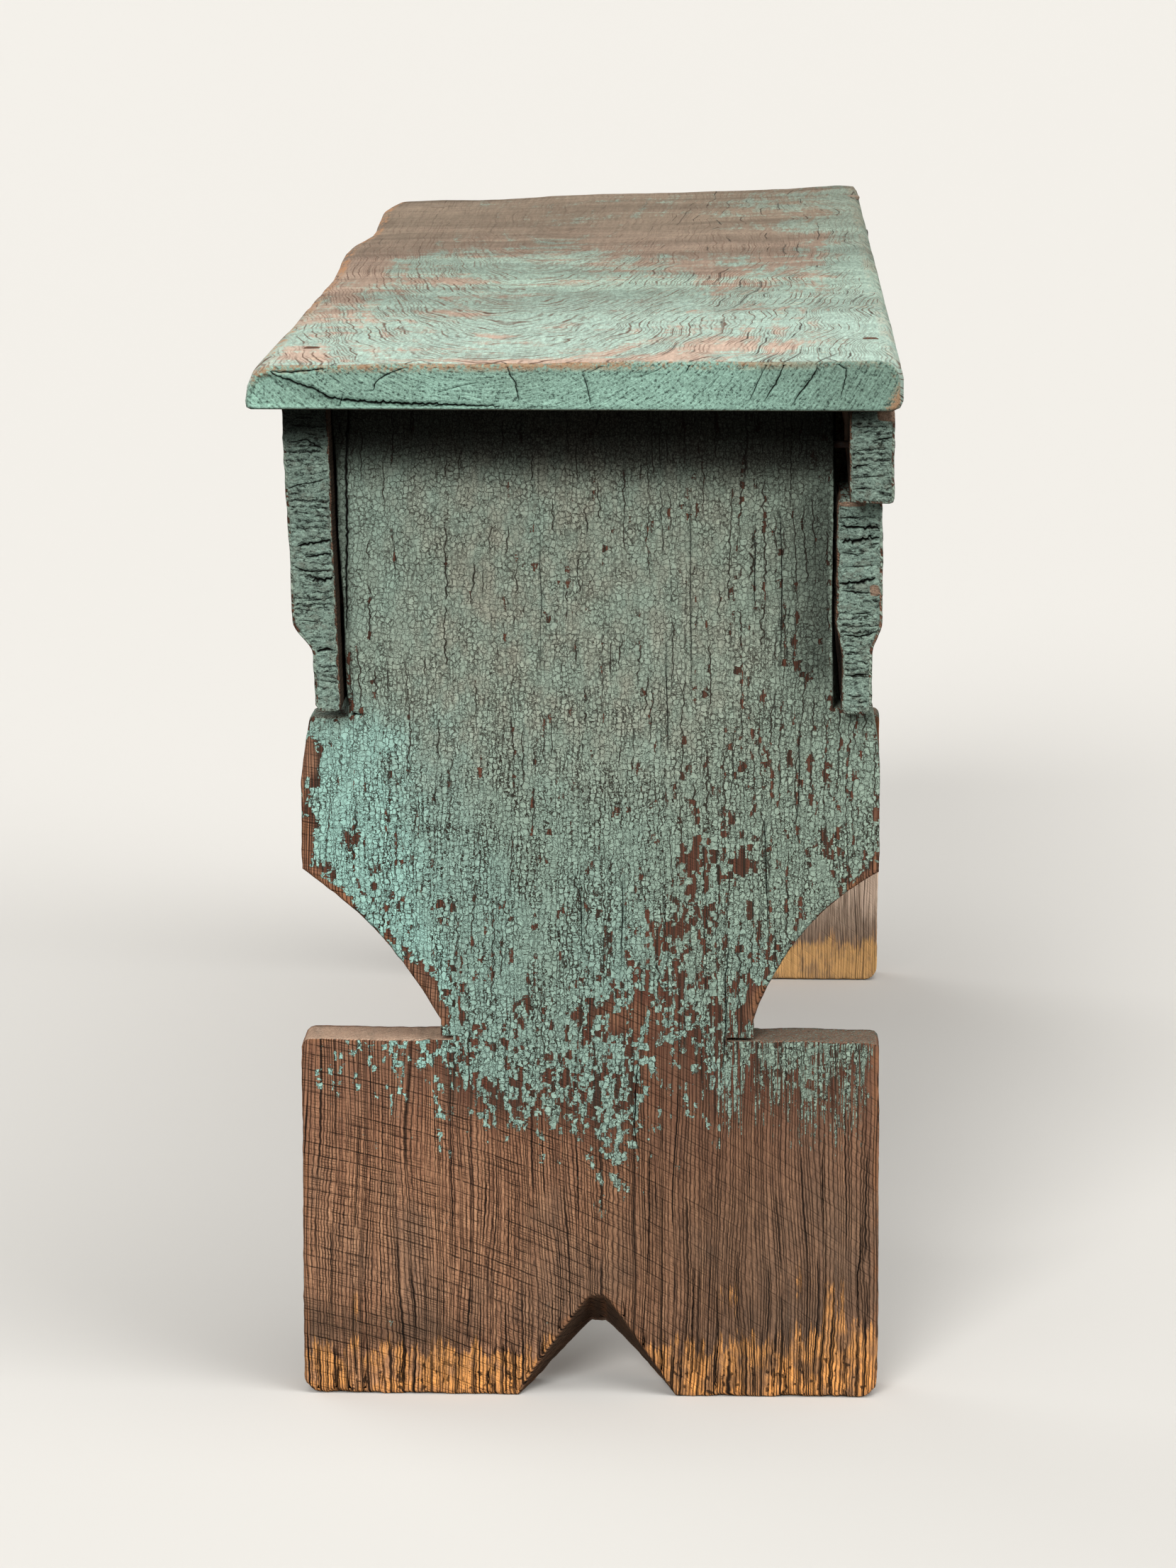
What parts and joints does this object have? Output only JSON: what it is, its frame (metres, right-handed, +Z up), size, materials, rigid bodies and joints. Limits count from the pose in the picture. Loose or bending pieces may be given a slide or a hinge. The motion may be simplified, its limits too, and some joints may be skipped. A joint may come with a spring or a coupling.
{
  "type": "bucket bench",
  "caption": "Long low plank bench on two sawn end boards with coved sides and a V cut foot, moulded aprons let into the legs, nailed together and painted.",
  "frame": {"origin": "on the floor under the middle of the bench's bounding box", "axes": "+X along the seat towards the end that faces the camera in the picture (the right end seen from the front), +Y to the rear (the side of the two-piece apron), +Z up"},
  "size_m": [1.1, 0.2949, 0.4741],
  "materials": {
    "painted_wood": "old green paint, crazed and worn through to bare wood",
    "worn_wood": "thin worn green paint over weathered wood",
    "rusty_iron": "rusty cut iron"
  },
  "bodies": {
    "root": {"seat_plank": "worn_wood", "right_leg": "painted_wood", "left_leg": "painted_wood", "front_apron": "painted_wood", "rear_apron_board": "painted_wood", "rear_apron_rail": "painted_wood", "seat_nail_front_1": "rusty_iron", "seat_nail_front_2": "rusty_iron", "seat_nail_rear_1": "rusty_iron", "seat_nail_rear_2": "rusty_iron", "front_apron_nail_right_1": "rusty_iron", "front_apron_nail_right_2": "rusty_iron", "front_apron_nail_right_3": "rusty_iron", "front_apron_nail_left_1": "rusty_iron", "front_apron_nail_left_2": "rusty_iron", "front_apron_nail_left_3": "rusty_iron", "rear_board_nail_right_1": "rusty_iron", "rear_board_nail_right_2": "rusty_iron", "rear_board_nail_left_1": "rusty_iron", "rear_board_nail_left_2": "rusty_iron", "rear_rail_nail_right_1": "rusty_iron", "rear_rail_nail_left_1": "rusty_iron"}
  },
  "joints": []
}
